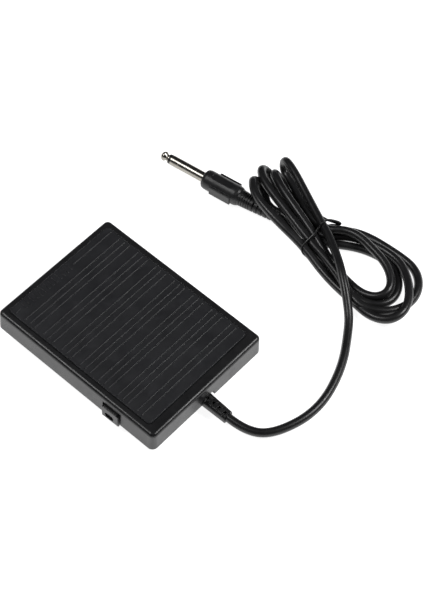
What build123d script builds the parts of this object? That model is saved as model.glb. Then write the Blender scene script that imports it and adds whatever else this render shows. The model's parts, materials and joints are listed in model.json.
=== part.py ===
from build123d import *
import math
import os

# Sustain pedal: a hinged cap with a ribbed tread over a hidden base tray, a return spring, a push switch,
# a polarity slide switch, and a thin lead that ends in a quarter inch jack plug.
# Millimetres, +Z up.  The floor is z = 0.  +Y is the rear, where the lead leaves, and +X is the polarity
# switch's side.  The pedal stands over the origin.

# ---- driving dimensions ----------------------------------------------------------------------------------

CAP_LENGTH = 118.8          # along Y, at the cap's lower edge
CAP_WIDTH = 89.5            # along X, at the cap's lower edge
CAP_HEIGHT = 13.55
CAP_DRAFT = 2.2             # degrees, the walls lean in towards the top
CAP_CORNER = 3.6            # plan corner radius
CAP_EDGE = 2.2              # rounded upper edge
CAP_WALL = 2.4
CAP_ROOF = 2.6
CAP_LEVEL_GAP = 5.3         # floor to the cap's lower edge when the cap is level, fully pressed
SHIFT_X = -0.65             # the case stands this far off the origin, because the switch housing stands proud
SHIFT_Y = 0.25              # and the tilted cap this far, so that the resting pedal is centred on the origin

REST_TILT = 3.3             # degrees, the cap's front is up at rest and level when pressed
HINGE_Y = 48.5
HINGE_Z = 7.5
HINGE_X = 31.0              # middle of each hinge knuckle
PIN_RADIUS = 1.5
PIN_CLEARANCE = 0.05
KNUCKLE_RADIUS = 3.0

PAD_WIDTH = 79.6
PAD_FRONT = -54.4
PAD_REAR = 52.2
PAD_CORNER = 2.2
PAD_RECESS = 0.8
PAD_PROUD = 0.7
RIB_HEIGHT = 0.45
RIB_WIDTH = 0.9
RIB_PITCH = 3.78
RIB_GROUP = 14.13
RIB_FIRST = -43.4
RIB_GROUPS = 7
RIBS_PER_GROUP = 3
RIB_SIDE_GAP = 1.5
FRONT_RIB_Y = -50.2
MOTIF_BARS = 13
MOTIF_X = -5.4
MOTIF_PITCH = 3.0
MOTIF_LENGTH = 5.2
MOTIF_HEIGHT = 0.3

TRAY_LENGTH = 108.6
TRAY_WIDTH = 78.8
TRAY_CORNER = 3.0
TRAY_BOTTOM = 1.2
TRAY_FLOOR = 2.0
TRAY_TOP = TRAY_BOTTOM + TRAY_FLOOR
TRAY_RIM = 1.8
RIM_TOP_REAR = 8.4
RIM_TOP_FRONT = 12.6

FOOT_RADIUS = 6.0
FOOT_RECESS = 0.8
FOOT_X = 31.0
FOOT_Y = 44.5

BUMPER_RADIUS = 4.0
BUMPER_HEIGHT = 3.4
BUMPER_X = 31.5
BUMPER_Y = -36.0

HOOK_X = 18.0
HOOK_WIDTH = 8.0
LEDGE_Z = 11.4              # underside of the tray's ledge that holds the cap down
LEDGE_THICK = 1.8

SPRING_Y = -20.0
SPRING_RADIUS = 5.0
SPRING_WIRE = 0.45
SPRING_TURNS = 6

SWITCH_Y = 10.0
SWITCH_LENGTH = 13.0
SWITCH_DEPTH = 8.4
SWITCH_HEIGHT = 7.2
BUTTON_RADIUS = 1.6
BUTTON_RISE = 3.0
ACTUATOR_GAP = 0.15
SWITCH_SCREW_X = 4.7

POLARITY_Y = 28.8
POLARITY_WIDTH = 12.2
POLARITY_LOW = 5.3
POLARITY_HIGH = 14.6
POLARITY_FACE_X = SHIFT_X + CAP_WIDTH / 2 + 1.3
POLARITY_BACK_X = 33.0
SWITCH_CUT_GAP = 0.35       # the cap's opening ends this far over the housing, with the cap level
WINDOW_LENGTH = 6.4
WINDOW_HEIGHT = 4.2
WINDOW_Y = 28.4
WINDOW_Z = 8.7
KNOB_LENGTH = 2.6
KNOB_HEIGHT = 3.2
KNOB_TRAVEL = 2.6

CORD_RADIUS = 2.6
EXIT_X = 0.15
RELIEF_START_Y = 49.2
RELIEF_END_Y = 74.7
RELIEF_START_Z = 6.2
RELIEF_END_Z = 3.6
RELIEF_START = (8.4, 7.0)   # width and height
RELIEF_END = (7.1, 6.0)
RELIEF_SLOTS = 5
RELIEF_PITCH = 4.2
RELIEF_SLOT_DEPTH = 1.5

HANK_HEIGHT = 12.0
TIE_Y = 31.0
TIE_WIRE = 1.3

PLUG_TIP = (-113.2, -78.6)
PLUG_HEADING = 6.3          # degrees from +Y towards -X
PLUG_Z = 6.2
SLEEVE_RADIUS = 3.175
TIP_RADIUS = 2.98
NECK_RADIUS = 2.4
INSULATOR_START = 6.2       # measured from the tip, as all lengths along the plug are
INSULATOR_END = 7.8
PLUG_EXPOSED = 32.0
BARREL_RADIUS = 6.2
BARREL_LENGTH = 26.0
GRIP_START = 39.5           # the raised grips on the barrel's sides, measured from the tip
GRIP_END = 54.0
GRIP_PROUD = 0.7
BOOT_LENGTH = 27.0
BOOT_START_RADIUS = 5.1
BOOT_END_RADIUS = 3.4
FINE_RINGS = 5
FINE_PITCH = 1.6
COARSE_RINGS = 5
COARSE_PITCH = 3.2

# The lead's route over the floor, from the strain relief to the hank, as the corners of its line.
CORD_ROUTE = [
    (EXIT_X, RELIEF_END_Y, RELIEF_END_Z),
    (0.1, 87.6, 2.65),
    (-9.5, 100.4, 2.65),
    (-36.5, 108.4, 2.65),
    (-66.7, 100.6, 2.65),
    (-91.2, 85.4, 2.8),
    (-105.0, 74.4, 6.4),
]

# Corners of the hank's outline, seen from above, and the radius of each.
HANK_OUTLINE = [
    (-112.4, 31.0, 40.0),
    (-102.6, 70.0, 30.0),
    (-101.5, 106.0, 14.0),
    (-141.0, 108.0, 18.0),
    (-156.0, 84.0, 26.0),
    (-146.0, 36.0, 30.0),
    (-151.0, 16.0, 40.0),
    (-171.0, -20.0, 9.0),
    (-160.0, -32.0, 9.0),
    (-131.0, -31.0, 9.0),
    (-119.0, -4.0, 40.0),
]

CAP_TOP = CAP_LEVEL_GAP + CAP_HEIGHT
CAP_UNDERSIDE = CAP_TOP - CAP_ROOF
PAD_BED = CAP_TOP - PAD_RECESS


# ---- helpers ---------------------------------------------------------------------------------------------

def block(x, y, z):
    """A box from three (low, high) pairs."""
    size = [high - low for low, high in (x, y, z)]
    centre = tuple((low + high) / 2 for low, high in (x, y, z))
    return Pos(*centre) * Box(*size)


def post(x, y, z, radius):
    """An upright cylinder between the two heights of z."""
    return Pos(x, y, (z[0] + z[1]) / 2) * Cylinder(radius, z[1] - z[0])


def cross_pin(x, y, z, radius):
    """A cylinder along X between the two values of x."""
    return Pos((x[0] + x[1]) / 2, y, z) * Rot(0, 90, 0) * Cylinder(radius, x[1] - x[0])


def rounded_plan(width, length, corner, z, y=0.0, x=0.0):
    """A rounded rectangle in plan at height z."""
    return Pos(x, y, z) * RectangleRounded(width, length, corner)


def group(shapes):
    """Separate solids kept in one node."""
    return Compound(children=list(shapes))


def at_rest(shape):
    """Tilt a shape of the level cap up to its rest position, about the hinge."""
    return Pos(0, HINGE_Y, HINGE_Z) * Rot(-REST_TILT, 0, 0) * Pos(0, -HINGE_Y, -HINGE_Z) * shape


def rise_at(y):
    """How far the resting cap stands above its level place, at y."""
    return (HINGE_Y - y) * math.sin(math.radians(REST_TILT))


def save(shape, name):
    shape.label = name
    export_step(shape, f"parts/{name}.step")


# ---- the pedal: cap, tread and actuator -------------------------------------------------------------------

def cap_outer():
    plan = rounded_plan(CAP_WIDTH, CAP_LENGTH, CAP_CORNER, CAP_LEVEL_GAP, y=SHIFT_Y, x=SHIFT_X)
    body = extrude(plan, amount=CAP_HEIGHT, taper=CAP_DRAFT)
    top_edges = body.faces().sort_by(Axis.Z)[-1].edges()
    return fillet(top_edges, CAP_EDGE)


def cap_inner():
    plan = rounded_plan(CAP_WIDTH - 2 * CAP_WALL, CAP_LENGTH - 2 * CAP_WALL, CAP_CORNER - 1.6, CAP_LEVEL_GAP,
                        y=SHIFT_Y, x=SHIFT_X)
    return extrude(plan, amount=CAP_HEIGHT - CAP_ROOF, taper=CAP_DRAFT)


def switch_cut():
    """The level cap's opening round the polarity housing.  It is level with the housing when fully pressed."""
    half = POLARITY_WIDTH / 2 + 0.6
    return block((38, 50), (POLARITY_Y - half, POLARITY_Y + half), (0, POLARITY_HIGH + SWITCH_CUT_GAP))


def relief_cut():
    """The resting cap's opening over the strain relief, with rounded upper corners."""
    cut = block((EXIT_X - 6.1, EXIT_X + 4.1), (52, 62), (0, 9.2))
    return fillet(cut.edges().filter_by(Axis.Y).sort_by(Axis.Z)[-2:], 2.0)


def cap_hooks():
    """Two hooks behind the front wall, whose toes stay under the tray's ledges."""
    toe_top = LEDGE_Z - rise_at(-50) - 0.35
    shapes = []
    for x in (-HOOK_X, HOOK_X):
        stem = block((x - HOOK_WIDTH / 2, x + HOOK_WIDTH / 2), (-46.4, -44.2), (toe_top - 1.7, CAP_UNDERSIDE + 0.5))
        toe = block((x - HOOK_WIDTH / 2, x + HOOK_WIDTH / 2), (-50.2, -44.2), (toe_top - 1.7, toe_top))
        shapes += [stem, toe]
    return shapes


def cap_hinge_knuckles():
    shapes = []
    for side in (-1, 1):
        x = side * HINGE_X
        web = block((x - 2, x + 2), (HINGE_Y - KNUCKLE_RADIUS, HINGE_Y + KNUCKLE_RADIUS),
                    (HINGE_Z, CAP_UNDERSIDE + 0.5))
        eye = cross_pin((x - 2, x + 2), HINGE_Y, HINGE_Z, KNUCKLE_RADIUS)
        shapes += [web, eye]
    return shapes


def cap_inner_ribs():
    """Stiffening ribs under the roof, a ring round the spring's end and two stop posts."""
    depth = 2.2
    shapes = [block((x - 0.8, x + 0.8), (-53, 44), (CAP_UNDERSIDE - depth, CAP_UNDERSIDE + 0.5)) for x in (-14, 14)]
    shapes += [block((-38, 38), (y - 0.8, y + 0.8), (CAP_UNDERSIDE - depth, CAP_UNDERSIDE + 0.5)) for y in (-30, 20)]
    shapes += [post(x, BUMPER_Y, (TRAY_TOP + BUMPER_HEIGHT + 0.3, CAP_UNDERSIDE + 0.5), 3.6)
               for x in (-BUMPER_X, BUMPER_X)]
    shapes.append(post(0, SPRING_Y, (CAP_UNDERSIDE - 2.4, CAP_UNDERSIDE + 0.5), SPRING_RADIUS - 1.2))
    return shapes


def make_cap_shell():
    cap = cap_outer() - cap_inner()
    for shape in cap_hooks() + cap_hinge_knuckles() + cap_inner_ribs():
        cap += shape
    bed = extrude(rounded_plan(PAD_WIDTH + 0.5, PAD_REAR - PAD_FRONT + 0.5, PAD_CORNER + 0.25, PAD_BED,
                               y=(PAD_REAR + PAD_FRONT) / 2, x=SHIFT_X), amount=5)
    cap -= bed
    cap -= cross_pin((-40, 40), HINGE_Y, HINGE_Z, PIN_RADIUS + PIN_CLEARANCE)
    return at_rest(cap - switch_cut()) - relief_cut()


def pad_rib(y, x_low, x_high):
    """A low rounded rib across the tread."""
    half = RIB_WIDTH / 2
    base = CAP_TOP + PAD_PROUD
    crown = ThreePointArc((x_low, y - half, base), (x_low, y, base + RIB_HEIGHT), (x_low, y + half, base))
    foot = Polyline((x_low, y + half, base), (x_low, y + half, base - 0.1), (x_low, y - half, base - 0.1),
                    (x_low, y - half, base))
    return extrude(make_face(crown + foot), amount=x_high - x_low, dir=(1, 0, 0))


def front_motif(y):
    """A plain row of short raised bars in the gap of the front rib."""
    bars = []
    for number in range(MOTIF_BARS):
        x = MOTIF_X + MOTIF_PITCH * number
        bars.append(block((x - 0.6, x + 0.6), (y - MOTIF_LENGTH / 2, y + MOTIF_LENGTH / 2),
                          (CAP_TOP + PAD_PROUD - 0.1, CAP_TOP + PAD_PROUD + MOTIF_HEIGHT)))
    return bars


def make_tread_pad():
    middle = (PAD_REAR + PAD_FRONT) / 2
    pad = extrude(rounded_plan(PAD_WIDTH, PAD_REAR - PAD_FRONT, PAD_CORNER, PAD_BED, y=middle, x=SHIFT_X),
                  amount=PAD_RECESS + PAD_PROUD)
    pad = chamfer(pad.faces().sort_by(Axis.Z)[-1].edges(), 0.4)
    left = SHIFT_X - PAD_WIDTH / 2 + RIB_SIDE_GAP
    right = SHIFT_X + PAD_WIDTH / 2 - RIB_SIDE_GAP
    for number in range(RIB_GROUPS * RIBS_PER_GROUP - 1):
        y = RIB_FIRST + RIB_GROUP * (number // RIBS_PER_GROUP) + RIB_PITCH * (number % RIBS_PER_GROUP)
        pad += pad_rib(y, left, right)
    pad += pad_rib(FRONT_RIB_Y, left, MOTIF_X - 2.5)
    pad += pad_rib(FRONT_RIB_Y, MOTIF_X + MOTIF_PITCH * (MOTIF_BARS - 1) + 2.5, right)
    for bar in front_motif(FRONT_RIB_Y - 0.4):
        pad += bar
    return at_rest(pad)


def button_top():
    return TRAY_TOP + SWITCH_HEIGHT + BUTTON_RISE


def make_switch_actuator():
    """A plastic plug pressed under the roof, over the push switch."""
    tip = button_top() + ACTUATOR_GAP - rise_at(SWITCH_Y)
    stem = post(0, SWITCH_Y, (tip, CAP_UNDERSIDE), 2.4)
    flange = post(0, SWITCH_Y, (CAP_UNDERSIDE - 1.2, CAP_UNDERSIDE), 4.2)
    return at_rest(stem + flange)


# ---- the base tray and what stands on it -------------------------------------------------------------------

def tray_rim():
    """The rim, higher at the front where the resting cap stands higher."""
    outer = extrude(rounded_plan(TRAY_WIDTH, TRAY_LENGTH, TRAY_CORNER, TRAY_BOTTOM, x=SHIFT_X), amount=20)
    inner = extrude(rounded_plan(TRAY_WIDTH - 2 * TRAY_RIM, TRAY_LENGTH - 2 * TRAY_RIM, TRAY_CORNER - TRAY_RIM,
                                 TRAY_TOP, x=SHIFT_X), amount=20)
    half = TRAY_LENGTH / 2 + 1
    side = make_face(Polyline((-60, -half, RIM_TOP_FRONT), (-60, half, RIM_TOP_REAR), (-60, half, 30),
                              (-60, -half, 30), close=True))
    return outer - inner - extrude(side, amount=120, dir=(1, 0, 0))


def tray_hinge_lugs():
    shapes = []
    for side in (-1, 1):
        for x in (side * (HINGE_X - 4.2), side * (HINGE_X + 4.2)):
            web = block((x - 1.6, x + 1.6), (HINGE_Y - KNUCKLE_RADIUS, HINGE_Y + KNUCKLE_RADIUS),
                        (TRAY_TOP - 0.5, HINGE_Z))
            shapes += [web, cross_pin((x - 1.6, x + 1.6), HINGE_Y, HINGE_Z, KNUCKLE_RADIUS)]
    return shapes


def tray_ledges():
    """Two brackets whose ledges hold the cap's hooks down."""
    shapes = []
    for x in (-HOOK_X, HOOK_X):
        wide = HOOK_WIDTH / 2 + 1.5
        wall = block((x - wide, x + wide), (-53.2, -51.4), (TRAY_TOP - 0.5, LEDGE_Z + LEDGE_THICK))
        ledge = block((x - wide, x + wide), (-53.2, -47.4), (LEDGE_Z, LEDGE_Z + LEDGE_THICK))
        shapes += [wall, ledge]
    return shapes


def tray_seats():
    """Spigots, walls and pillars that hold the loose parts."""
    spring_spigot = post(0, SPRING_Y, (TRAY_TOP - 0.5, TRAY_TOP + 3), SPRING_RADIUS - 1.2)
    half = SWITCH_DEPTH / 2 + 0.15
    switch_fences = [block((-7, 7), (SWITCH_Y + side * (half + 0.7) - 0.7, SWITCH_Y + side * (half + 0.7) + 0.7),
                           (TRAY_TOP - 0.5, TRAY_TOP + 2.4)) for side in (-1, 1)]
    shelf = block((POLARITY_BACK_X, 38.2), (POLARITY_Y - 5, POLARITY_Y + 5), (TRAY_TOP - 0.5, POLARITY_LOW))
    clamp_pillars = [post(EXIT_X + s * 6.2, 36.0, (TRAY_TOP - 0.5, TRAY_TOP + 3.2), 2.3) for s in (-1, 1)]
    clamp_rib = block((EXIT_X - 3.4, EXIT_X + 3.4), (35.0, 37.0), (TRAY_TOP - 0.5, TRAY_TOP + 0.7))
    return [spring_spigot, shelf, clamp_rib] + switch_fences + clamp_pillars


def make_base_tray():
    tray = tray_rim()
    for shape in tray_hinge_lugs() + tray_ledges() + tray_seats():
        tray += shape
    tray -= cross_pin((-40, 40), HINGE_Y, HINGE_Z, PIN_RADIUS)
    for x in (-FOOT_X, FOOT_X):
        for y in (-FOOT_Y, FOOT_Y):
            tray -= post(x, y, (0, TRAY_BOTTOM + FOOT_RECESS), FOOT_RADIUS)
    tray -= block((36, 45), (POLARITY_Y - POLARITY_WIDTH / 2 - 0.2, POLARITY_Y + POLARITY_WIDTH / 2 + 0.2),
                  (POLARITY_LOW, 20))
    tray -= relief_groove()
    for s in (-1, 1):
        tray -= post(EXIT_X + s * 6.2, 36.0, (TRAY_TOP + 0.2, TRAY_TOP + 4), 0.9)
        tray -= post(s * SWITCH_SCREW_X, SWITCH_Y, (TRAY_BOTTOM + 0.4, TRAY_TOP + 1), 0.8)
    return tray


def make_rubber_feet():
    feet = []
    for x in (-FOOT_X, FOOT_X):
        for y in (-FOOT_Y, FOOT_Y):
            foot = post(x, y, (0, TRAY_BOTTOM + FOOT_RECESS), FOOT_RADIUS)
            feet.append(fillet(foot.edges().sort_by(Axis.Z)[0], 0.5))
    return group(feet)


def make_hinge_pins():
    pins = []
    for side in (-1, 1):
        ends = sorted((side * (HINGE_X - 6.6), side * (HINGE_X + 6.6)))
        pin = cross_pin(ends, HINGE_Y, HINGE_Z, PIN_RADIUS)
        pins.append(chamfer(pin.edges().filter_by(GeomType.CIRCLE), 0.3))
    return group(pins)


def make_stop_bumpers():
    bumpers = []
    for x in (-BUMPER_X, BUMPER_X):
        bumper = post(x, BUMPER_Y, (TRAY_TOP, TRAY_TOP + BUMPER_HEIGHT), BUMPER_RADIUS)
        bumpers.append(fillet(bumper.edges().sort_by(Axis.Z)[-1], 0.8))
    return group(bumpers)


def make_return_spring():
    """A helical compression spring with flat end rings."""
    low = TRAY_TOP + SPRING_WIRE
    high = CAP_UNDERSIDE + rise_at(SPRING_Y) - SPRING_WIRE - 0.35
    helix = Helix(pitch=(high - low) / SPRING_TURNS, height=high - low, radius=SPRING_RADIUS)
    section = Plane(origin=helix @ 0, z_dir=helix % 0) * Circle(SPRING_WIRE)
    coil = sweep(section, path=helix, is_frenet=True)
    return Pos(0, SPRING_Y, low) * coil


def make_push_switch_case():
    case = block((-SWITCH_LENGTH / 2, SWITCH_LENGTH / 2), (SWITCH_Y - SWITCH_DEPTH / 2, SWITCH_Y + SWITCH_DEPTH / 2),
                 (TRAY_TOP, TRAY_TOP + SWITCH_HEIGHT))
    case = chamfer(case.edges().filter_by(Axis.Z), 0.4)
    case -= post(0, SWITCH_Y, (TRAY_TOP + 2.4, TRAY_TOP + SWITCH_HEIGHT + 1), BUTTON_RADIUS + 0.15)
    for side in (-1, 1):
        case -= post(side * SWITCH_SCREW_X, SWITCH_Y, (0, 20), 1.05)
    return case


def make_push_switch_screws():
    screws = []
    for side in (-1, 1):
        x = side * SWITCH_SCREW_X
        top = TRAY_TOP + SWITCH_HEIGHT
        head = fillet(post(x, SWITCH_Y, (top, top + 1.0), 1.7).edges().sort_by(Axis.Z)[-1], 0.4)
        shank = post(x, SWITCH_Y, (TRAY_BOTTOM + 0.6, top), 0.8)
        slot = block((x - 2, x + 2), (SWITCH_Y - 0.25, SWITCH_Y + 0.25), (top + 0.5, top + 2))
        screws.append(head + shank - slot)
    return group(screws)


def make_push_switch_button():
    button = post(0, SWITCH_Y, (TRAY_TOP + 5.0, button_top()), BUTTON_RADIUS)
    return fillet(button.edges().sort_by(Axis.Z)[-1], 0.6)


def make_push_switch_terminals():
    """Three flat tags that stand out of the switch's left end."""
    z = TRAY_TOP + 3.2
    return group(block((-SWITCH_LENGTH / 2 - 3.2, -SWITCH_LENGTH / 2), (y - 0.8, y + 0.8), (z, z + 0.5))
                 for y in (SWITCH_Y - 2.6, SWITCH_Y, SWITCH_Y + 2.6))


def make_polarity_housing():
    """The block that stands out through the cap's side wall, with an oval window for the slider."""
    housing = block((POLARITY_BACK_X, POLARITY_FACE_X),
                    (POLARITY_Y - POLARITY_WIDTH / 2, POLARITY_Y + POLARITY_WIDTH / 2), (POLARITY_LOW, POLARITY_HIGH))
    upright = housing.edges().filter_by(Axis.X).sort_by(Axis.Z)[-2:]
    housing = fillet(upright, 1.4)
    front = housing.faces().sort_by(Axis.X)[-1].edges()
    housing = fillet(front, 0.5)
    pocket = block((POLARITY_BACK_X - 1, POLARITY_FACE_X - 2.2), (POLARITY_Y - 4.9, POLARITY_Y + 4.9),
                   (POLARITY_LOW + 1.0, POLARITY_HIGH - 3.4))
    window = Plane.YZ.offset(POLARITY_FACE_X - 4) * Pos(WINDOW_Y, WINDOW_Z) * SlotOverall(WINDOW_LENGTH, WINDOW_HEIGHT)
    return housing - pocket - extrude(window, amount=6)


def make_slide_switch_can():
    can = block((POLARITY_BACK_X - 1.6, POLARITY_FACE_X - 2.2), (POLARITY_Y - 4.9, POLARITY_Y + 4.9),
                (POLARITY_LOW + 1.0, POLARITY_HIGH - 3.4))
    slot = block((POLARITY_FACE_X - 4.2, POLARITY_FACE_X), (WINDOW_Y - KNOB_LENGTH / 2 - KNOB_TRAVEL / 2 - 0.2,
                 WINDOW_Y + KNOB_LENGTH / 2 + KNOB_TRAVEL / 2 + 0.2),
                 (WINDOW_Z - KNOB_HEIGHT / 2 - 0.15, WINDOW_Z + KNOB_HEIGHT / 2 + 0.15))
    return can - slot


def make_slide_switch_terminals():
    x = POLARITY_BACK_X - 1.6
    return group(block((x - 2.8, x), (y - 0.7, y + 0.7), (WINDOW_Z - 0.25, WINDOW_Z + 0.25))
                 for y in (POLARITY_Y - 3, POLARITY_Y, POLARITY_Y + 3))


def make_polarity_slider():
    """The slider's knob, at the front end of its slot."""
    y = WINDOW_Y - KNOB_TRAVEL / 2
    knob = block((POLARITY_FACE_X - 4.1, POLARITY_FACE_X - 1.1), (y - KNOB_LENGTH / 2, y + KNOB_LENGTH / 2),
                 (WINDOW_Z - KNOB_HEIGHT / 2, WINDOW_Z + KNOB_HEIGHT / 2))
    knob = fillet(knob.edges().filter_by(Axis.X), 0.5)
    grooves = [block((POLARITY_FACE_X - 1.8, POLARITY_FACE_X), (y + step - 0.2, y + step + 0.2), (0, 20))
               for step in (-0.7, 0.0, 0.7)]
    for groove in grooves:
        knob -= groove
    return knob


def make_cable_clamp():
    """A bar that holds the lead down on the tray, with an arch over the jacket."""
    bar = block((EXIT_X - 9, EXIT_X + 9), (33.2, 38.8), (TRAY_TOP + 3.2, TRAY_TOP + 7.4))
    bar = fillet(bar.edges().filter_by(Axis.Z), 1.5)
    arch = Pos(EXIT_X, 36.0, TRAY_TOP + 0.7 + CORD_RADIUS) * Rot(90, 0, 0) * Cylinder(CORD_RADIUS, 10)
    for s in (-1, 1):
        bar -= post(EXIT_X + s * 6.2, 36.0, (TRAY_TOP, TRAY_TOP + 8), 1.25)
    return bar - arch


def make_clamp_screws():
    screws = []
    for s in (-1, 1):
        x = EXIT_X + s * 6.2
        head = post(x, 36.0, (TRAY_TOP + 7.4, TRAY_TOP + 9.0), 2.2)
        head = fillet(head.edges().sort_by(Axis.Z)[-1], 0.6)
        shank = post(x, 36.0, (TRAY_TOP + 0.4, TRAY_TOP + 7.4), 0.9)
        cross = block((x - 1.3, x + 1.3), (35.7, 36.3), (TRAY_TOP + 8.3, TRAY_TOP + 10))
        cross += block((x - 0.3, x + 0.3), (34.7, 37.3), (TRAY_TOP + 8.3, TRAY_TOP + 10))
        screws.append(head + shank - cross)
    return group(screws)


def round_sweep(path, radius):
    return sweep(Plane(origin=path @ 0, z_dir=path % 0) * Circle(radius), path=path)


def make_inner_lead(relief):
    """The jacket's end inside the case, from the strain relief to just past the clamp."""
    start = Vector(EXIT_X, RELIEF_START_Y + 0.2, RELIEF_START_Z)
    end = Vector(EXIT_X, 31.0, TRAY_TOP + 0.7 + CORD_RADIUS)
    path = FilletPolyline(start, Vector(EXIT_X, 41.0, end.Z), end, radius=20)
    return round_sweep(path, CORD_RADIUS) - relief


def wire(points):
    return round_sweep(FilletPolyline(*points, radius=2.0), 0.55)


def make_switch_wires():
    """Insulated wires from the jacket's end to both switches, and the link between them."""
    z = TRAY_TOP + 3.0
    push_x = -SWITCH_LENGTH / 2 - 3.2
    slide_x = POLARITY_BACK_X - 4.4
    wires = [
        wire([(EXIT_X - 1.1, 31.0, z), (EXIT_X - 1.1, 22.0, z), (push_x - 4, 18.0, z + 0.6),
              (push_x - 4, SWITCH_Y + 2.6, z + 0.6), (push_x, SWITCH_Y + 2.6, TRAY_TOP + 3.45)]),
        wire([(EXIT_X + 1.1, 31.0, z), (EXIT_X + 1.1, 25.5, z), (slide_x - 6, 25.5, z + 2.0),
              (slide_x - 3, POLARITY_Y, WINDOW_Z), (slide_x, POLARITY_Y, WINDOW_Z)]),
        wire([(push_x, SWITCH_Y - 2.6, TRAY_TOP + 3.45), (push_x - 4, SWITCH_Y - 5.4, z + 0.6),
              (0, SWITCH_Y - 9.0, z - 1.0), (slide_x - 4, SWITCH_Y - 4.0, z + 0.4),
              (slide_x - 4, POLARITY_Y - 3, WINDOW_Z), (slide_x, POLARITY_Y - 3, WINDOW_Z)]),
    ]
    return group(wires)


# ---- the strain relief, the lead and its hank -----------------------------------------------------------------

def relief_section(y, size, z):
    plane = Plane(origin=(EXIT_X, y, z), x_dir=(1, 0, 0), z_dir=(0, 1, 0))
    return plane * RectangleRounded(size[0], size[1], 2.3)


def relief_body():
    return loft([relief_section(RELIEF_START_Y, RELIEF_START, RELIEF_START_Z),
                 relief_section(RELIEF_END_Y, RELIEF_END, RELIEF_END_Z)])


def relief_groove():
    """The slot in the tray's rear rim that the strain relief sits in."""
    return block((EXIT_X - 3.6, EXIT_X + 3.6), (48, 58), (2.3, 20))


def make_strain_relief(tray):
    """A tapered boot with staggered slots in its top and its underside, held in the rear rim by two flanges."""
    relief = relief_body()
    inside = TRAY_LENGTH / 2 - TRAY_RIM
    outside = TRAY_LENGTH / 2
    for y in ((inside - 1.6, inside), (outside, outside + 1.5)):
        relief += block((EXIT_X - 4.3, EXIT_X + 4.3), y, (TRAY_TOP + 0.1, 9.3))
    for number in range(RELIEF_SLOTS):
        for side in (-1, 1):
            y = RELIEF_END_Y - 2.0 - RELIEF_PITCH * (number + (0.5 if side < 0 else 0.0))
            share = (y - RELIEF_START_Y) / (RELIEF_END_Y - RELIEF_START_Y)
            middle = RELIEF_START_Z + (RELIEF_END_Z - RELIEF_START_Z) * share
            half = (RELIEF_START[1] + (RELIEF_END[1] - RELIEF_START[1]) * share) / 2
            across = (EXIT_X - 0.5, EXIT_X + 2.9) if side > 0 else (EXIT_X - 2.9, EXIT_X - 0.9)
            depth = RELIEF_SLOT_DEPTH if side > 0 else RELIEF_SLOT_DEPTH / 2
            upper = middle + half
            lower = middle - half
            relief -= block(across, (y - 0.75, y + 0.75), (upper - depth, upper + 2))
            relief -= block(across, (y - 0.75, y + 0.75), (lower - 2, lower + depth))
    return relief - tray


def make_cord_tube(hank, relief):
    """The uncoiled stretch of the lead: straight runs joined by tangent arcs."""
    points = [Vector(*point) for point in CORD_ROUTE]
    radii = []
    for before, corner, after in zip(points, points[1:], points[2:]):
        arriving = corner - before
        leaving = after - corner
        turn = math.radians(arriving.get_angle(leaving))
        radii.append(0.45 * min(arriving.length, leaving.length) / math.tan(turn / 2))
    print("cord bend radii, mm:", [round(radius, 1) for radius in radii])
    path = FilletPolyline(*points, radius=radii)
    tube = round_sweep(path, CORD_RADIUS)
    print("cord tube: length %.1f mm, volume %.0f, section times length %.0f"
          % (path.length, tube.volume, math.pi * CORD_RADIUS ** 2 * path.length))
    return tube - hank - relief


def hank_solid():
    """The outer shape of the hank: a flat fan of loops, a waist under the tie and a wide loop."""
    points = [(x, y) for x, y, _ in HANK_OUTLINE]
    radii = [radius for _, _, radius in HANK_OUTLINE]
    outline = FilletPolyline(*points, radius=radii, close=True)
    return extrude(make_face(outline), amount=HANK_HEIGHT)


def make_twist_tie(hank):
    """A wire round the waist, with its twisted ends standing out on the far side."""
    slab = block((-180, -90), (TIE_Y - TIE_WIRE / 2, TIE_Y + TIE_WIRE / 2), (-1, HANK_HEIGHT + 1))
    waist = hank & slab
    low = waist.bounding_box().min
    high = waist.bounding_box().max
    core = block((low.X + TIE_WIRE, high.X - TIE_WIRE), (TIE_Y - 2, TIE_Y + 2), (TIE_WIRE, HANK_HEIGHT - TIE_WIRE))
    ring = waist - core
    ends = block((low.X - 5.5, low.X + 0.4), (TIE_Y - 1.3, TIE_Y + 1.3), (7.6, 9.4))
    return ring + (ends - hank)


# ---- the jack plug ------------------------------------------------------------------------------------------

def on_plug_axis(shape):
    """Lay a shape that was turned about +Z, with its tip at the origin, along the plug's line."""
    return Pos(PLUG_TIP[0], PLUG_TIP[1], PLUG_Z) * Rot(0, 0, PLUG_HEADING) * Rot(-90, 0, 0) * shape


def turned(profile):
    """A solid of revolution from (radius, distance from the tip) points."""
    points = [(radius, 0, along) for radius, along in profile]
    return on_plug_axis(revolve(make_face(Polyline(*points, close=True)), Axis.Z))


def make_plug_tip():
    return turned([(0, 0), (1.0, 0), (2.0, 0.5), (2.7, 1.3), (TIP_RADIUS, 2.1), (TIP_RADIUS, 2.6), (2.4, 3.4),
                   (2.0, 4.0), (2.0, 4.6), (2.7, 5.4), (2.9, 5.7), (2.9, INSULATOR_START), (1.4, INSULATOR_START),
                   (1.4, INSULATOR_END + 1.2), (0, INSULATOR_END + 1.2)])


def make_plug_insulator():
    return turned([(1.4, INSULATOR_START), (TIP_RADIUS, INSULATOR_START), (TIP_RADIUS, INSULATOR_END),
                   (2.2, INSULATOR_END), (2.2, INSULATOR_END + 1.2), (1.4, INSULATOR_END + 1.2)])


def make_plug_sleeve():
    """The sleeve, and behind it the narrower neck that the barrel is moulded over."""
    return turned([(2.2, INSULATOR_END), (SLEEVE_RADIUS, INSULATOR_END), (SLEEVE_RADIUS, PLUG_EXPOSED),
                   (NECK_RADIUS, PLUG_EXPOSED), (NECK_RADIUS, PLUG_EXPOSED + 6), (0, PLUG_EXPOSED + 6),
                   (0, INSULATOR_END + 1.2), (2.2, INSULATOR_END + 1.2)])


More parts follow.
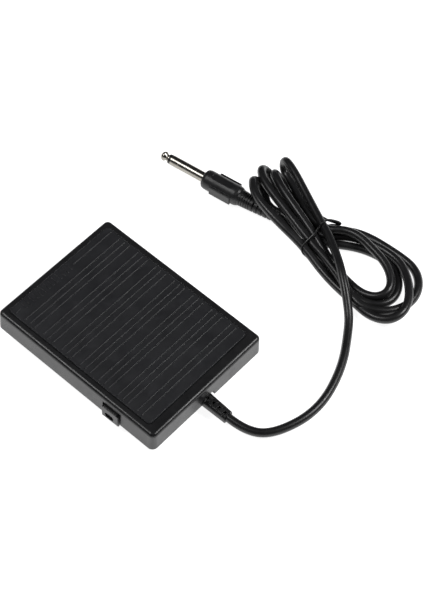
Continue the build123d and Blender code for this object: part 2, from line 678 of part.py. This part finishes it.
def along_plug(shape, along):
    """Lay a shape made along +Y on the plug's line, at a distance from the tip."""
    return Pos(PLUG_TIP[0], PLUG_TIP[1], PLUG_Z) * Rot(0, 0, PLUG_HEADING) * Pos(0, along, 0) * shape


def make_plug_barrel():
    """The moulded barrel, with an oval recess on top and a raised grip on each side."""
    start = PLUG_EXPOSED
    end = PLUG_EXPOSED + BARREL_LENGTH
    barrel = turned([(NECK_RADIUS, start), (4.4, start), (5.2, start + 0.3), (5.8, start + 0.9),
                     (BARREL_RADIUS, start + 2.4), (BARREL_RADIUS, end - 2.6), (5.9, end - 1.2), (5.3, end),
                     (0, end), (0, start + 6), (NECK_RADIUS, start + 6)])
    reach = BARREL_RADIUS + GRIP_PROUD
    grip_length = GRIP_END - GRIP_START
    grips = fillet(Box(2 * reach, grip_length, 6.4).edges().filter_by(Axis.Y), 0.6)
    grips -= Box(2 * (BARREL_RADIUS - 1), grip_length + 2, 20)
    barrel += along_plug(grips, (GRIP_START + GRIP_END) / 2)
    panel = Plane.XY.offset(BARREL_RADIUS - 0.4) * SlotOverall(15.0, 5.0)
    recess = Rot(0, 0, 90) * extrude(panel, amount=2)
    return barrel - along_plug(recess, PLUG_EXPOSED + BARREL_LENGTH / 2)


def boot_radius(along):
    share = (along - PLUG_EXPOSED - BARREL_LENGTH) / BOOT_LENGTH
    return BOOT_START_RADIUS + (BOOT_END_RADIUS - BOOT_START_RADIUS) * share


def boot_groove(along, width, depth):
    """A ring to cut from the boot."""
    low = boot_radius(along) - depth
    return turned([(low, along), (low + 4, along), (low + 4, along + width), (low, along + width)])


def make_plug_strain_relief():
    """A tapered boot: fine rings beside the barrel, then slots between two spines."""
    start = PLUG_EXPOSED + BARREL_LENGTH
    end = start + BOOT_LENGTH
    boot = turned([(0, start), (BOOT_START_RADIUS, start), (BOOT_END_RADIUS, end - 0.6), (BOOT_END_RADIUS - 0.5, end),
                   (0, end)])
    for number in range(FINE_RINGS):
        boot -= boot_groove(start + 1.4 + number * FINE_PITCH, 0.7, 0.5)
    spine = along_plug(Box(2.4, BOOT_LENGTH, 20), start + BOOT_LENGTH / 2)
    first_slot = start + 2.2 + FINE_RINGS * FINE_PITCH
    for number in range(COARSE_RINGS):
        boot -= boot_groove(first_slot + number * COARSE_PITCH, 1.4, 1.3) - spine
    return boot


# ---- write every node -----------------------------------------------------------------------------------------

def main():
    os.makedirs("parts", exist_ok=True)
    plug = {
        "plug_tip": make_plug_tip(),
        "plug_insulator": make_plug_insulator(),
        "plug_sleeve": make_plug_sleeve(),
        "plug_barrel": make_plug_barrel(),
        "plug_strain_relief": make_plug_strain_relief(),
    }
    envelope = turned([(0, 30), (BARREL_RADIUS + 0.2, 30), (BARREL_RADIUS + 0.2, 60), (0, 60)])
    hank = hank_solid() - envelope - plug["plug_strain_relief"]
    tie = make_twist_tie(hank)
    tray = make_base_tray()
    relief = make_strain_relief(tray)
    nodes = {
        "cap_shell": make_cap_shell(),
        "tread_pad": make_tread_pad(),
        "switch_actuator": make_switch_actuator(),
        "base_tray": tray,
        "rubber_feet": make_rubber_feet(),
        "hinge_pins": make_hinge_pins(),
        "stop_bumpers": make_stop_bumpers(),
        "return_spring": make_return_spring(),
        "push_switch_case": make_push_switch_case(),
        "push_switch_button": make_push_switch_button(),
        "push_switch_terminals": make_push_switch_terminals(),
        "push_switch_screws": make_push_switch_screws(),
        "polarity_housing": make_polarity_housing(),
        "slide_switch_can": make_slide_switch_can(),
        "slide_switch_terminals": make_slide_switch_terminals(),
        "polarity_slider": make_polarity_slider(),
        "cable_clamp": make_cable_clamp(),
        "clamp_screws": make_clamp_screws(),
        "inner_lead": make_inner_lead(relief),
        "switch_wires": make_switch_wires(),
        "strain_relief": relief,
        "cord_tube": make_cord_tube(hank, relief),
        "cord_hank": hank - tie,
        "twist_tie": tie,
    }
    nodes.update(plug)
    for name, shape in nodes.items():
        save(shape, name)


main()
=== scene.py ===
import json
import math

import bmesh
import bpy
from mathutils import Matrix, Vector


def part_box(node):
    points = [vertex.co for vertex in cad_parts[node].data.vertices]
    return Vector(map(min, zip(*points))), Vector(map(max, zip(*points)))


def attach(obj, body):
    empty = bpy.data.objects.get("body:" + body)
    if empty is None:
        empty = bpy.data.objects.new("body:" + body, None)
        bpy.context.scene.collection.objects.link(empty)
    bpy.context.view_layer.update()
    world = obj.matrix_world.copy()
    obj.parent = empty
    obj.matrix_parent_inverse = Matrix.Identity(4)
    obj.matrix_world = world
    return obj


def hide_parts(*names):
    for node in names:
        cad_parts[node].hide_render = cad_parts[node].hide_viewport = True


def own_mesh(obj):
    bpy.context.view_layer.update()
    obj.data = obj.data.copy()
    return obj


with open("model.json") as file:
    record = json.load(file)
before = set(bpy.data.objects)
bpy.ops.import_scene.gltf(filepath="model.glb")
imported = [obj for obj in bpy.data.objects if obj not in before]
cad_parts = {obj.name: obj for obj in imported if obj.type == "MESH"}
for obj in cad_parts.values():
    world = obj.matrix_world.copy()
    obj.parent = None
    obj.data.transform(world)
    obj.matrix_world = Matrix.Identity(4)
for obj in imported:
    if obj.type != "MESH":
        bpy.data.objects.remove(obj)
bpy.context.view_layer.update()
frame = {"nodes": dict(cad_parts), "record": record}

# A sustain pedal with its lead tied in a hank.  Metres, +Z up, the floor is z = 0.

MM = 0.001


# ---- camera ----------------------------------------------------------------------------------------------

AIM = (-0.0552, 0.0136, 0.0)
AZIMUTH = math.radians(131.71)
ELEVATION = math.radians(53.85)
DISTANCE = 1.0364
LENS = 108.28
SENSOR_WIDTH = 36.0
CLIP_END = 20.0


def direction(azimuth, elevation):
    """From the object towards something at this bearing: azimuth 0 is in front, at -Y, and 90 is at +X."""
    flat = math.cos(elevation)
    return Vector((math.sin(azimuth) * flat, -math.cos(azimuth) * flat, math.sin(elevation)))


def make_camera():
    camera = bpy.data.objects.new("camera", bpy.data.cameras.new("camera"))
    back = direction(AZIMUTH, ELEVATION)
    camera.location = Vector(AIM) + back * DISTANCE
    camera.rotation_mode = "QUATERNION"
    camera.rotation_quaternion = (-back).to_track_quat("-Z", "Y")
    camera.data.lens = LENS
    camera.data.sensor_width = SENSOR_WIDTH
    camera.data.clip_end = CLIP_END
    bpy.context.scene.collection.objects.link(camera)
    bpy.context.scene.camera = camera


# ---- node helpers ----------------------------------------------------------------------------------------

FLAT_DOT = 0.995       # how well the rounded normal agrees with the plain one on a flat face
EDGE_DOT = 0.9         # and on an edge


class Paint:
    """A principled material and short calls for its nodes.  Places are in the object's own metres."""

    def __init__(self, name, colour, roughness, metallic=0.0, specular=0.5):
        self.material = bpy.data.materials.new(name)
        self.material.use_nodes = True
        self.nodes = self.material.node_tree.nodes
        self.links = self.material.node_tree.links
        self.shader = self.nodes["Principled BSDF"]
        self.set("Base Color", (*colour, 1.0))
        self.set("Roughness", roughness)
        self.set("Metallic", metallic)
        self.set("Specular IOR Level", specular)
        self.place = self.nodes.new("ShaderNodeTexCoord").outputs["Object"]

    def set(self, name, value):
        self.shader.inputs[name].default_value = value

    def join(self, output, name):
        self.links.new(output, self.shader.inputs[name])

    def stretched(self, scale):
        """Places scaled by different amounts along X, Y and Z."""
        node = self.nodes.new("ShaderNodeMapping")
        node.inputs["Scale"].default_value = scale
        self.links.new(self.place, node.inputs["Vector"])
        return node.outputs["Vector"]

    def noise(self, scale, detail=4.0, rough=0.55, at=None):
        node = self.nodes.new("ShaderNodeTexNoise")
        node.inputs["Scale"].default_value = scale
        node.inputs["Detail"].default_value = detail
        node.inputs["Roughness"].default_value = rough
        self.links.new(at or self.place, node.inputs["Vector"])
        return node.outputs["Fac"]

    def cells(self, scale):
        node = self.nodes.new("ShaderNodeTexVoronoi")
        node.inputs["Scale"].default_value = scale
        self.links.new(self.place, node.inputs["Vector"])
        return node.outputs["Distance"]

    def span(self, value, low, high, to_low, to_high):
        """The value, stretched from one range to another and held inside it."""
        node = self.nodes.new("ShaderNodeMapRange")
        node.inputs["From Min"].default_value = low
        node.inputs["From Max"].default_value = high
        node.inputs["To Min"].default_value = to_low
        node.inputs["To Max"].default_value = to_high
        self.links.new(value, node.inputs["Value"])
        return node.outputs["Result"]

    def maths(self, kind, a, b):
        node = self.nodes.new("ShaderNodeMath")
        node.operation = kind
        for socket, value in zip(node.inputs, (a, b)):
            if isinstance(value, float):
                socket.default_value = value
            else:
                self.links.new(value, socket)
        return node.outputs["Value"]

    def blend(self, share, first, second):
        """Between two colours, or a colour output and a colour."""
        node = self.nodes.new("ShaderNodeMix")
        node.data_type = "RGBA"
        self.links.new(share, node.inputs["Factor"])
        for name, colour in (("A", first), ("B", second)):
            socket = [s for s in node.inputs if s.name == name and s.type == "RGBA"][0]
            if isinstance(colour, tuple):
                socket.default_value = (*colour, 1.0)
            else:
                self.links.new(colour, socket)
        return [s for s in node.outputs if s.type == "RGBA"][0]

    def bump(self, height, distance, strength=1.0, under=None):
        node = self.nodes.new("ShaderNodeBump")
        node.inputs["Distance"].default_value = distance
        node.inputs["Strength"].default_value = strength
        self.links.new(height, node.inputs["Height"])
        if under:
            self.links.new(under, node.inputs["Normal"])
        return node.outputs["Normal"]

    def edges(self, radius):
        """A normal that rounds sharp edges, and a mask that is 1 on them."""
        soft = self.nodes.new("ShaderNodeBevel")
        soft.inputs["Radius"].default_value = radius
        plain = self.nodes.new("ShaderNodeNewGeometry")
        dot = self.nodes.new("ShaderNodeVectorMath")
        dot.operation = "DOT_PRODUCT"
        self.links.new(soft.outputs["Normal"], dot.inputs[0])
        self.links.new(plain.outputs["Normal"], dot.inputs[1])
        return soft.outputs["Normal"], self.span(dot.outputs["Value"], FLAT_DOT, EDGE_DOT, 0.0, 1.0)


CLOUD_SCALE = 45.0
DUST_SCALE = 160.0
DUST_SHARE = 0.35      # the most that dust covers
DUST_TINT = 2.2        # times the plastic's lighter colour
EDGE_TINT = 3.0
GLOSS_SCALE = 90.0
EDGE_GLOSS = 0.08      # how much smoother a worn edge is
GRAIN_STRENGTH = 0.5
EDGE_RADIUS = 0.0003


def tinted(colour, times):
    return tuple(times * channel for channel in colour)


def moulded(name, dark, light, rough, grain, grain_depth, edge=EDGE_RADIUS, edge_wear_and_highlight=0.25):
    """Moulded plastic: a fine spark texture, cloudy gloss, dust in patches and lighter edges, which are worn
    polish and, on the tread's ribs, also a painted highlight.
    """
    p = Paint(name, dark, rough)
    soft, on_edge = p.edges(edge)
    clouds = p.noise(CLOUD_SCALE, 5.0)
    dust = p.span(p.noise(DUST_SCALE, 6.0, 0.7), 0.52, 0.75, 0.0, DUST_SHARE)
    colour = p.blend(p.span(clouds, 0.35, 0.65, 0.0, 1.0), dark, light)
    colour = p.blend(dust, colour, tinted(light, DUST_TINT))
    # Edges lightened: worn polish, and on the tread a painted highlight along the ribs.
    colour = p.blend(p.maths("MULTIPLY", on_edge, edge_wear_and_highlight), colour, tinted(light, EDGE_TINT))
    p.join(colour, "Base Color")
    gloss = p.span(p.noise(GLOSS_SCALE, 6.0, 0.65), 0.3, 0.7, rough - 0.06, rough + 0.08)
    p.join(p.maths("SUBTRACT", gloss, p.maths("MULTIPLY", on_edge, EDGE_GLOSS)), "Roughness")
    height = p.maths("ADD", p.cells(grain), p.noise(grain * 0.6, 3.0))
    p.join(p.bump(height, grain_depth, GRAIN_STRENGTH, soft), "Normal")
    return p


LINE_SCALE = 60.0
TARNISH_SCALE = 220.0
TARNISH_TINT = 0.72
LINE_DEPTH = 0.00001


def metal(name, colour, rough, brushed):
    """Metal with fine lines from drawing or brushing, faint tarnish and softer edges."""
    p = Paint(name, colour, rough, metallic=1.0)
    soft, _ = p.edges(0.0001)
    lines = p.noise(LINE_SCALE, 3.0, 0.5, p.stretched(brushed))
    tarnish = p.noise(TARNISH_SCALE, 5.0, 0.6)
    shade = p.blend(p.span(tarnish, 0.4, 0.75, 0.0, 0.5), colour, tinted(colour, TARNISH_TINT))
    p.join(shade, "Base Color")
    p.join(p.maths("ADD", p.span(lines, 0.3, 0.7, rough - 0.04, rough + 0.08),
                   p.span(tarnish, 0.5, 0.8, 0.0, 0.10)), "Roughness")
    p.join(p.bump(lines, LINE_DEPTH, 0.4, soft), "Normal")
    return p


# ---- materials -------------------------------------------------------------------------------------------

def make_materials():
    made = {
        "cap_plastic": moulded("cap_plastic", (0.0125, 0.0125, 0.0132), (0.015, 0.015, 0.0158), 0.31, 2600.0,
                               0.00001),
        # The tread's stronger edge lightening paints highlights along its ribs, besides wear.
        "tread_rubber": moulded("tread_rubber", (0.0165, 0.0170, 0.0190), (0.0195, 0.0200, 0.0225), 0.42,
                                1900.0, 0.000012, edge=0.0002, edge_wear_and_highlight=0.5),
        "tray_plastic": moulded("tray_plastic", (0.014, 0.014, 0.015), (0.019, 0.019, 0.020), 0.46, 1500.0,
                                0.00006),
        "foot_rubber": moulded("foot_rubber", (0.030, 0.030, 0.030), (0.045, 0.045, 0.044), 0.75, 1200.0,
                               0.00010),
        "inner_plastic": moulded("inner_plastic", (0.012, 0.012, 0.013), (0.017, 0.017, 0.018), 0.42, 2400.0,
                                 0.00002),
        "boot_pvc": moulded("boot_pvc", (0.0085, 0.0085, 0.009), (0.012, 0.012, 0.0125), 0.34, 2100.0,
                            0.00002),
        "barrel_pvc": moulded("barrel_pvc", (0.010, 0.010, 0.0105), (0.014, 0.014, 0.0145), 0.38, 2300.0,
                              0.00003),
        "plug_insulation": moulded("plug_insulation", (0.008, 0.008, 0.008), (0.012, 0.012, 0.012), 0.35,
                                   2600.0, 0.00002, edge=0.0001),
        "cord_pvc": moulded("cord_pvc", (0.0110, 0.0110, 0.0115), (0.014, 0.014, 0.0145), 0.33, 1400.0,
                            0.00002, edge=0.0001, edge_wear_and_highlight=0.0),
        "tie_wire": moulded("tie_wire", (0.008, 0.008, 0.008), (0.012, 0.012, 0.012), 0.32, 3000.0, 0.00002,
                            edge=0.0001),
        "pin_steel": metal("pin_steel", (0.60, 0.60, 0.62), 0.22, (8.0, 60.0, 60.0)),
        "spring_steel": metal("spring_steel", (0.50, 0.50, 0.52), 0.28, (40.0, 40.0, 8.0)),
        "terminal_brass": metal("terminal_brass", (0.72, 0.56, 0.30), 0.26, (60.0, 8.0, 60.0)),
        "switch_metal": metal("switch_metal", (0.60, 0.60, 0.60), 0.30, (60.0, 8.0, 60.0)),
        "plug_nickel": metal("plug_nickel", (0.34, 0.325, 0.29), 0.22, (90.0, 6.0, 90.0)),
        "wire_pvc": wire_paint(),
    }
    return {name: paint.material for name, paint in made.items()}


def wire_paint():
    """Thin wires: each has its own colour, from red to white."""
    p = Paint("wire_pvc", (0.25, 0.02, 0.02), 0.35)
    which = p.nodes.new("ShaderNodeNewGeometry").outputs["Random Per Island"]
    colour = p.blend(p.span(which, 0.3, 0.7, 0.0, 1.0), (0.28, 0.015, 0.015), (0.55, 0.54, 0.50))
    grime = p.span(p.noise(300.0), 0.4, 0.8, 0.0, 0.4)
    p.join(p.blend(grime, colour, (0.10, 0.02, 0.02)), "Base Color")
    p.join(p.span(p.noise(200.0), 0.3, 0.7, 0.28, 0.45), "Roughness")
    p.join(p.bump(p.noise(1500.0), 0.00003, 0.4), "Normal")
    return p


def paint_nodes(materials):
    for part in frame["record"]["subparts"]:
        mesh = frame["nodes"][part["node"]].data
        mesh.materials.clear()
        mesh.materials.append(materials[part["material_slot"]])


# ---- the lead and its hank -------------------------------------------------------------------------------

CORD_DIAMETER = 5.2
TIE_Y = 31.0

# The lead's route from the strain relief, in millimetres: over the floor, then up over the hank's near arm.
FREE_ROUTE = [
    (0.15, 74.7, 3.6),
    (0.1, 87.6, 2.65),
    (-9.5, 100.4, 2.65),
    (-36.5, 108.4, 2.65),
    (-66.7, 100.6, 2.65),
    (-91.2, 85.4, 2.8),
    (-98.5, 79.0, 4.9),
    (-105.8, 70.4, 9.6),
    (-112.0, 62.5, 12.3),
    (-118.0, 55.0, 12.3),
    (-123.8, 46.5, 12.0),
    (-128.8, 38.5, 12.0),
]

# Each turn of the hank goes from the waist under the tie to a leaning loop in front, back through the
# waist, and round a flat arch behind.  waist is (x, z) and knee (x, y, z), going in and coming out.  A front
# loop has its tip, its heading in degrees from -Y towards -X, half its width, how far it leans in degrees and
# its middle height.  An arch has its centre, its two radii, how far its top is drawn to +X, and its height at
# both ends and the top.
TURNS = [
    dict(waist_in=(-132.4, 11.8), knee_in=(-143.2, 9.6, 12.8),
         tip=(-154.7, -17.3), heading=22, half=6.0, lean=-88, middle=9.0,
         knee_out=(-143.5, 5.0, 4.0), waist_out=(-131.4, 7.15), far_knee=(-143.0, 46.0, 9.5),
         centre=(-126.3, 70.0), radii=(11.5, 17.8), drawn=4.0, heights=(9.5, 7.0, 2.7),
         near_knee=(-117.5, 53.0, 3.8)),
    dict(waist_in=(-126.2, 7.15), knee_in=(-131.7, 10.3, 12.0),
         tip=(-145.6, -15.3), heading=28, half=6.0, lean=63, middle=8.5,
         knee_out=(-138.0, 9.5, 2.7), waist_out=(-134.0, 2.65), far_knee=(-149.0, 45.0, 2.65),
         centre=(-127.9, 78.6), radii=(22.0, 22.0), drawn=-0.6, heights=(2.65, 2.65, 4.8),
         near_knee=(-115.0, 55.0, 7.2)),
    dict(waist_in=(-121.0, 7.15), knee_in=(-125.6, 15.0, 9.0),
         tip=(-144.9, -23.2), heading=37, half=5.8, lean=50, middle=7.2,
         knee_out=(-133.0, 8.5, 2.7), waist_out=(-128.8, 2.65), far_knee=(-143.6, 47.0, 4.4),
         centre=(-126.6, 76.0), radii=(19.4, 27.5), drawn=10.8, heights=(6.0, 7.8, 2.65),
         near_knee=(-110.0, 53.0, 2.65)),
    dict(waist_in=(-115.8, 7.1), knee_in=(-116.8, 9.0, 12.2),
         tip=(-134.0, -20.4), heading=40, half=6.8, lean=57, middle=8.3,
         knee_out=(-128.9, 8.0, 2.65), waist_out=(-123.6, 2.65), far_knee=(-139.3, 52.0, 2.65),
         centre=(-126.6, 72.2), radii=(16.2, 19.2), drawn=3.4, heights=(2.65, 2.65, 2.65),
         near_knee=(-116.6, 52.3, 2.65)),
]

# From the waist to the plug's boot.
PLUG_ROUTE = [
    (-118.4, TIE_Y, 2.65),
    (-119.5, 22.5, 2.75),
    (-121.3, 14.0, 4.3),
    (-122.5, 6.5, 6.0),
    (-122.2, 1.5, 6.2),
]

ARCH_STEPS = 6
ARCH_OUT = 1.03         # control points stand this much outside the arch that they make
LOOP_CORNERS = ((-1.3, 1.0), (0.42, 1.0), (1.0, 0.42), (1.0, -0.42), (0.42, -1.0), (-1.3, -1.0))


def front_loop(turn):
    """Control points of a leaning loop.  A positive lean raises its +X side, where the lead goes in; a
    negative one means that the lead goes in on the -X side, which is raised."""
    heading = math.radians(turn["heading"])
    lean = math.radians(abs(turn["lean"]))
    side = math.copysign(1.0, turn["lean"])
    ahead = Vector((-math.sin(heading), -math.cos(heading)))
    across = side * Vector((math.cos(heading), -math.sin(heading)))
    half = turn["half"]
    centre = Vector(turn["tip"]) - ahead * half
    points = []
    for forward, sideways in LOOP_CORNERS:
        flat = centre + ahead * half * forward + across * half * sideways * math.cos(lean)
        points.append((flat.x, flat.y, turn["middle"] + half * sideways * math.sin(lean)))
    return points


def arch(turn):
    """Control points of a flat arch behind the waist, from its -X side to its +X side."""
    far, top, near = turn["heights"]
    points = []
    for step in range(ARCH_STEPS + 1):
        share = 2 * step / ARCH_STEPS
        angle = math.pi * (1 - step / ARCH_STEPS)
        along, aside = math.sin(angle), math.cos(angle)
        x = turn["centre"][0] + turn["radii"][0] * ARCH_OUT * aside + turn["drawn"] * along
        y = turn["centre"][1] + turn["radii"][1] * ARCH_OUT * along
        z = far + (top - far) * share if share < 1 else top + (near - top) * (share - 1)
        points.append((x, y, z))
    return points


def hank_points():
    points = []
    for turn in TURNS:
        points.append((turn["waist_in"][0], TIE_Y, turn["waist_in"][1]))
        points.append(turn["knee_in"])
        points += front_loop(turn)
        points.append(turn["knee_out"])
        points.append((turn["waist_out"][0], TIE_Y, turn["waist_out"][1]))
        points.append(turn["far_knee"])
        points += arch(turn)
        points.append(turn["near_knee"])
    return points


def nurbs(name, points, radius, material):
    """A round line along a smooth open spline, from points in millimetres."""
    data = bpy.data.curves.new(name, "CURVE")
    data.dimensions = "3D"
    data.bevel_depth = radius * MM
    data.bevel_resolution = 5
    data.resolution_u = 10
    data.use_fill_caps = True
    spline = data.splines.new("NURBS")
    spline.points.add(len(points) - 1)
    for control, point in zip(spline.points, points):
        control.co = (*(value * MM for value in point), 1.0)
    spline.order_u = 3
    spline.use_endpoint_u = True
    data.materials.append(material)
    line = bpy.data.objects.new(name, data)
    bpy.context.scene.collection.objects.link(line)
    return line


def make_cord(materials):
    cord = nurbs("cord", FREE_ROUTE + hank_points() + PLUG_ROUTE, CORD_DIAMETER / 2, materials["cord_pvc"])
    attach(cord, "base")
    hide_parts("cord_tube", "cord_hank")
    return cord


# ---- the tie ---------------------------------------------------------------------------------------------

TIE_WIRE = 0.68                # radius

# A coated wire, in millimetres: from its short end up round the near side and over the bundle, through a
# small bight on the far side, then back underneath to the near side.
TIE_ROUTE = [
    (-112.7, 38.4, 5.9), (-112.4, 35.4, 5.7), (-112.3, 33.2, 6.2), (-112.6, 31.8, 8.6),
    (-115.6, 31.4, 10.7), (-120.5, 31.4, 11.0), (-125.5, 31.6, 11.2), (-129.0, 31.8, 13.6),
    (-131.8, 32.0, 15.9), (-135.6, 32.6, 14.6), (-138.9, 34.4, 12.2), (-141.6, 36.8, 10.0),
    (-142.6, 37.2, 7.6), (-140.2, 35.2, 7.2), (-138.3, 32.6, 7.4), (-138.0, 31.0, 4.6),
    (-136.6, 30.4, 1.0), (-131.0, 30.4, 0.7), (-121.0, 30.6, 0.7), (-116.2, 30.8, 0.8),
    (-114.6, 31.6, 2.2), (-113.6, 34.0, 3.4), (-113.2, 37.2, 3.6), (-113.0, 40.6, 4.0),
]

# The wire's other end, which lies against the bight.
TIE_END = [
    (-136.8, 26.2, 11.4), (-137.4, 28.6, 11.0), (-137.9, 31.2, 10.6), (-139.4, 33.8, 9.8),
    (-141.4, 36.2, 8.6),
]


def make_tie(materials):
    pieces = [nurbs("tie", TIE_ROUTE, TIE_WIRE, materials["tie_wire"]),
              nurbs("tie_end", TIE_END, TIE_WIRE, materials["tie_wire"])]
    for piece in pieces:
        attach(piece, "base")
    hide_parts("twist_tie")
    return pieces


# ---- return spring ---------------------------------------------------------------------------------------

SPRING_WIRE = 0.45             # radius
SPRING_TURNS = 6
SPRING_STEPS = 24              # rings of vertices to a turn
SPRING_SIDES = 10


def spring_point(step, side, centre, radius, low, high):
    """A vertex on the wire's skin: step counts along the coil and side counts round the wire."""
    angle = 2 * math.pi * step / SPRING_STEPS
    round_wire = 2 * math.pi * side / SPRING_SIDES
    height = low + (high - low) * step / (SPRING_TURNS * SPRING_STEPS)
    reach = radius + SPRING_WIRE * MM * math.cos(round_wire)
    return (centre[0] + reach * math.cos(angle), centre[1] + reach * math.sin(angle),
            height + SPRING_WIRE * MM * math.sin(round_wire))


def make_spring(materials):
    """The return spring as a coil of fixed length; the real one shortens as the cap comes down on it."""
    low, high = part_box("return_spring")
    centre = [(low[axis] + high[axis]) / 2 for axis in range(2)]
    wire = SPRING_WIRE * MM
    radius = (high[0] - low[0]) / 2 - wire
    steps = SPRING_TURNS * SPRING_STEPS
    points = [spring_point(step, side, centre, radius, low[2] + wire, high[2] - wire)
              for step in range(steps + 1) for side in range(SPRING_SIDES)]
    faces = [tuple(range(SPRING_SIDES)), tuple(reversed(range(steps * SPRING_SIDES, len(points))))]
    for step in range(steps):
        near, far = step * SPRING_SIDES, (step + 1) * SPRING_SIDES
        for side in range(SPRING_SIDES):
            after = (side + 1) % SPRING_SIDES
            faces.append((near + side, far + side, far + after, near + after))
    mesh = bpy.data.meshes.new("coil_spring")
    mesh.from_pydata(points, [], faces)
    mesh.polygons.foreach_set("use_smooth", [True] * len(mesh.polygons))
    mesh.materials.append(materials["spring_steel"])
    spring = bpy.data.objects.new("coil_spring", mesh)
    bpy.context.scene.collection.objects.link(spring)
    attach(spring, "base")
    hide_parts("return_spring")
    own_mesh(spring)


# ---- floor and light -------------------------------------------------------------------------------------

FLOOR_SIZE = 3.0
FLOOR_GLOW = 0.9
FLOOR_DROP = 0.0002             # keeps the floor clear of the feet
FLOOR_WHITE = (0.86, 0.86, 0.86)
ROOM_COLOUR = (0.035, 0.035, 0.04, 1.0)
BACKDROP_COLOUR = (1.0, 1.0, 1.0, 1.0)
LIGHT_DISTANCE = 1.1


def make_floor():
    mesh = bpy.data.meshes.new("floor")
    net = bmesh.new()
    bmesh.ops.create_grid(net, x_segments=1, y_segments=1, size=FLOOR_SIZE / 2)
    net.to_mesh(mesh)
    net.free()
    paint = Paint("floor", FLOOR_WHITE, 0.7, specular=0.2)
    paint.set("Emission Color", (1.0, 1.0, 1.0, 1.0))
    paint.set("Emission Strength", FLOOR_GLOW)
    mesh.materials.append(paint.material)
    floor = bpy.data.objects.new("floor", mesh)
    floor.location.z = -FLOOR_DROP
    bpy.context.scene.collection.objects.link(floor)


def softbox(name, azimuth, elevation, side, power):
    """A square light that faces the object.  The bearing is in degrees, the side in metres."""
    data = bpy.data.lights.new(name, "AREA")
    data.shape = "SQUARE"
    data.size = side
    data.energy = power
    light = bpy.data.objects.new(name, data)
    back = direction(math.radians(azimuth), math.radians(elevation))
    light.location = Vector(AIM) + back * LIGHT_DISTANCE
    light.rotation_mode = "QUATERNION"
    light.rotation_quaternion = (-back).to_track_quat("-Z", "Y")
    bpy.context.scene.collection.objects.link(light)


def make_world():
    """A dark studio, which glossy faces reflect above the horizon, behind a pale backdrop."""
    world = bpy.data.worlds.new("world")
    world.use_nodes = True
    nodes, links = world.node_tree.nodes, world.node_tree.links
    room = nodes["Background"]
    room.inputs["Color"].default_value = ROOM_COLOUR
    backdrop = nodes.new("ShaderNodeBackground")
    backdrop.inputs["Color"].default_value = BACKDROP_COLOUR
    seen = nodes.new("ShaderNodeLightPath").outputs["Is Camera Ray"]
    either = nodes.new("ShaderNodeMixShader")
    links.new(seen, either.inputs["Fac"])
    links.new(room.outputs["Background"], either.inputs[1])
    links.new(backdrop.outputs["Background"], either.inputs[2])
    links.new(either.outputs["Shader"], nodes["World Output"].inputs["Surface"])
    bpy.context.scene.world = world


def make_light():
    softbox("front_box", 42.0, 60.0, 0.35, 3.4)
    softbox("rear_box", 222.0, 48.0, 0.40, 6.0)
    bpy.context.scene.view_settings.view_transform = "Standard"


# ---- put together ----------------------------------------------------------------------------------------

def main():
    make_camera()
    materials = make_materials()
    paint_nodes(materials)
    make_spring(materials)
    cord = make_cord(materials)
    ties = make_tie(materials)
    make_floor()
    make_world()
    make_light()


main()
